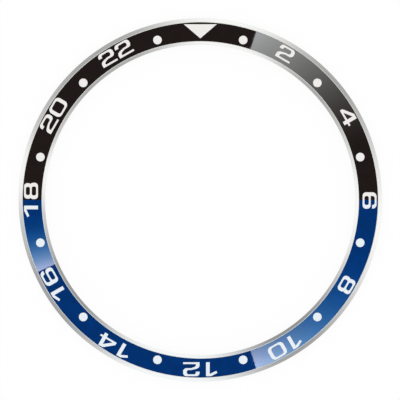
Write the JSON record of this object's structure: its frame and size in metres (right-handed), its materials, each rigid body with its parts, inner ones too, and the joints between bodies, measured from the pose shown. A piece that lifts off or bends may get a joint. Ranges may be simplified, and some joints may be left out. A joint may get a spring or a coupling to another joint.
{
  "type": "smartwatch bezel ring",
  "caption": "Self-adhesive polished steel bezel ring for a smartwatch, with a two-colour enamelled day and night hour track, inlaid white numerals and dots, and a release liner below.",
  "frame": {"origin": "centre of the ring, on the table that the liner lies on", "axes": "+Z along the ring's own axis, out of the enamelled face; +Y towards the triangle at the zero hour; hours run clockwise seen from +Z"},
  "size_m": [0.044, 0.044, 0.0016],
  "materials": {
    "polished_steel": "stainless steel, turned and polished to a soft gloss",
    "black_enamel": "glossy black enamel",
    "blue_enamel": "glossy dark blue enamel",
    "white_enamel": "satin white enamel",
    "adhesive": "clear acrylic adhesive",
    "foam": "white closed-cell foam",
    "liner_paper": "silicone-coated kraft paper"
  },
  "bodies": {
    "liner": {"release_liner": "liner_paper"},
    "ring": {"bezel_body": "polished_steel", "black_enamel": "black_enamel", "blue_enamel": "blue_enamel", "zero_triangle": "white_enamel", "numeral_2": "white_enamel", "numeral_4": "white_enamel", "numeral_6": "white_enamel", "numeral_8": "white_enamel", "numeral_10_tens": "white_enamel", "numeral_12_tens": "white_enamel", "numeral_14_tens": "white_enamel", "numeral_16_tens": "white_enamel", "numeral_18_tens": "white_enamel", "numeral_20_tens": "white_enamel", "numeral_22_tens": "white_enamel", "numeral_10_ones": "white_enamel", "numeral_12_ones": "white_enamel", "numeral_14_ones": "white_enamel", "numeral_16_ones": "white_enamel", "numeral_18_ones": "white_enamel", "numeral_20_ones": "white_enamel", "numeral_22_ones": "white_enamel", "dot_1": "white_enamel", "dot_3": "white_enamel", "dot_5": "white_enamel", "dot_7": "white_enamel", "dot_9": "white_enamel", "dot_11": "white_enamel", "dot_13": "white_enamel", "dot_15": "white_enamel", "dot_17": "white_enamel", "dot_19": "white_enamel", "dot_21": "white_enamel", "dot_23": "white_enamel", "upper_adhesive": "adhesive", "foam_carrier": "foam", "lower_adhesive": "adhesive"}
  },
  "joints": [
    {"name": "liner_release", "type": "slide", "parent": "liner", "child": "ring", "axis": [0, 0, 1], "range_m": [0, 0.008]}
  ]
}
